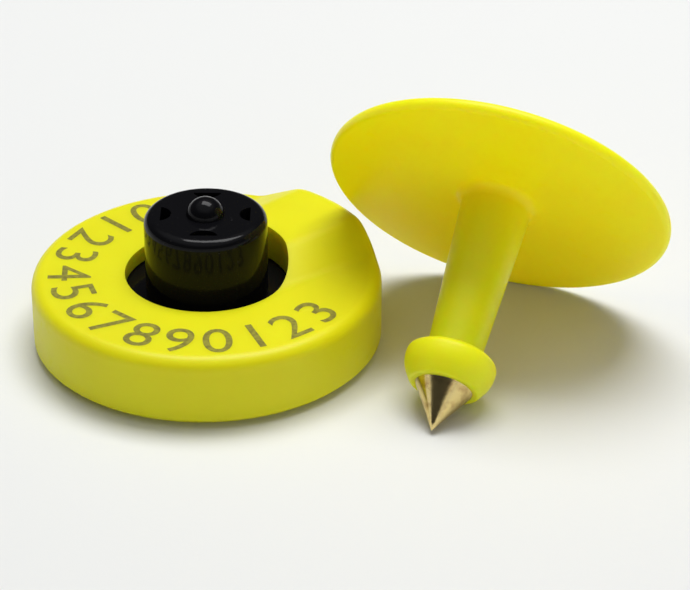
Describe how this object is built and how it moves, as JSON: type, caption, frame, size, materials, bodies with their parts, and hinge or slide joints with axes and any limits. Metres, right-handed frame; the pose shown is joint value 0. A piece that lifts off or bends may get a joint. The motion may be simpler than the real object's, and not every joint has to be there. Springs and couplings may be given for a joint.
{
  "type": "livestock ear tag",
  "caption": "Button ear tag for livestock: a flat ring with a turning closed cap, and beside it a disc and stem stud with a metal point.",
  "frame": {"origin": "centre of the ring half's back face, on the resting plane", "axes": "+Z along the ring half's axis, towards the nose of its cap; the stud lies on its +X side with its point towards -Y"},
  "size_m": [0.0543, 0.0307, 0.0252],
  "materials": {
    "ring_plastic": "satin",
    "stud_plastic": "satin",
    "cap_plastic": "polished",
    "former_plastic": "matt",
    "copper": "enamelled copper",
    "board": "solder resist",
    "chip": "matt",
    "ceramic": "matt",
    "solder": "bright",
    "brass": "turned bright"
  },
  "bodies": {
    "tag": {"ring_housing": "ring_plastic", "back_cover": "ring_plastic", "coil_former": "former_plastic", "antenna_coil": "copper", "chip_board": "board", "transponder_chip": "chip", "tuning_capacitor": "ceramic", "coil_leads": "copper", "solder_joints": "solder", "stud_body": "stud_plastic", "stud_tip": "brass"},
    "cap": {"locking_cap": "cap_plastic"}
  },
  "joints": [
    {"name": "cap_swivel", "type": "hinge", "parent": "tag", "child": "cap", "pos_m": [0, 0, 0.002], "axis": [0, 0, 1], "continuous": true}
  ]
}
